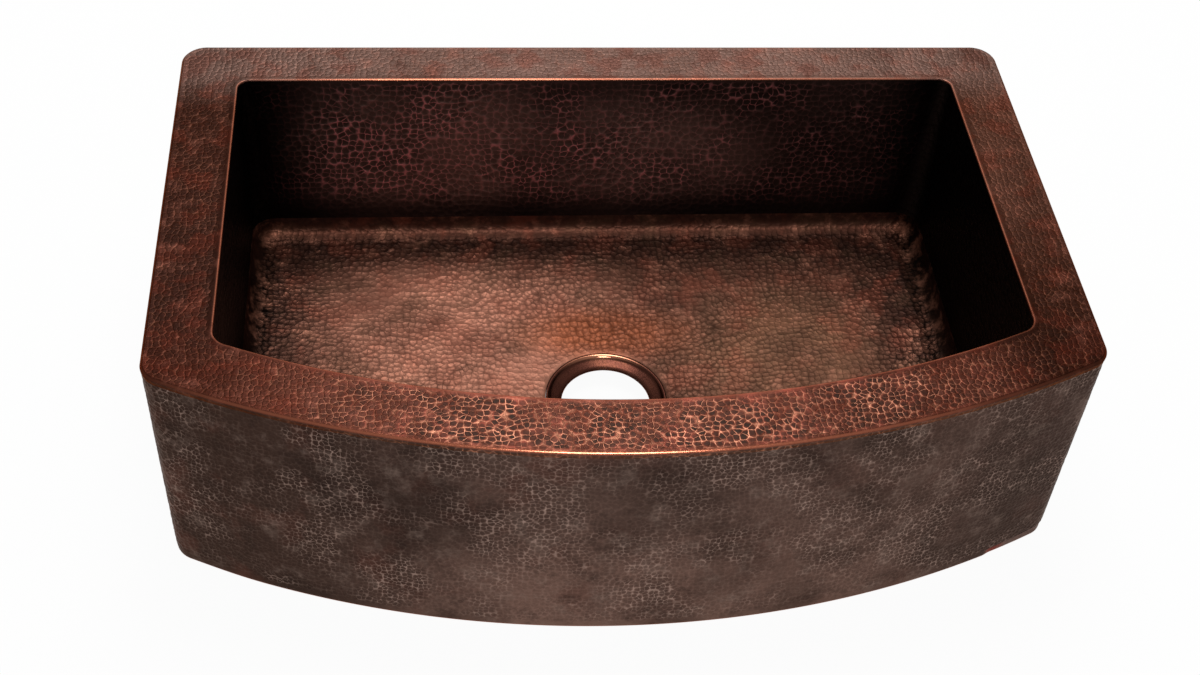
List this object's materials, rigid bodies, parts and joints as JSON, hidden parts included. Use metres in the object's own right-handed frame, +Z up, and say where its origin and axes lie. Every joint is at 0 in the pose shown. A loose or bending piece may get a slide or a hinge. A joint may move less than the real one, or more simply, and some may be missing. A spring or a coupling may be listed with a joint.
{
  "type": "farmhouse apron front sink",
  "caption": "Hammered copper farmhouse sink with a single bowl, a flat rim all round, a bowed front apron and a recessed drain opening.",
  "frame": {"origin": "middle of the footprint, on the surface that the sink stands on", "axes": "+Z up, -Y out of the bowed apron, +X to the right of someone facing the apron from the front"},
  "size_m": [0.838, 0.5489, 0.248],
  "materials": {
    "hammered_copper": "hand-hammered copper sheet with a dark brown patina, satin",
    "spun_copper": "smooth spun copper with a dark bronze patina, polished",
    "plain_copper": "plain unpolished copper strip"
  },
  "bodies": {
    "root": {"rim_back": "hammered_copper", "rim_left": "hammered_copper", "rim_right": "hammered_copper", "rim_front": "hammered_copper", "bowl_back_wall": "hammered_copper", "bowl_left_wall": "hammered_copper", "bowl_right_wall": "hammered_copper", "bowl_front_wall": "hammered_copper", "bowl_floor": "hammered_copper", "drain_collar": "spun_copper", "apron_front": "hammered_copper", "apron_left_return": "hammered_copper", "apron_right_return": "hammered_copper", "apron_bottom_hem": "hammered_copper", "apron_ties": "plain_copper"}
  },
  "joints": []
}
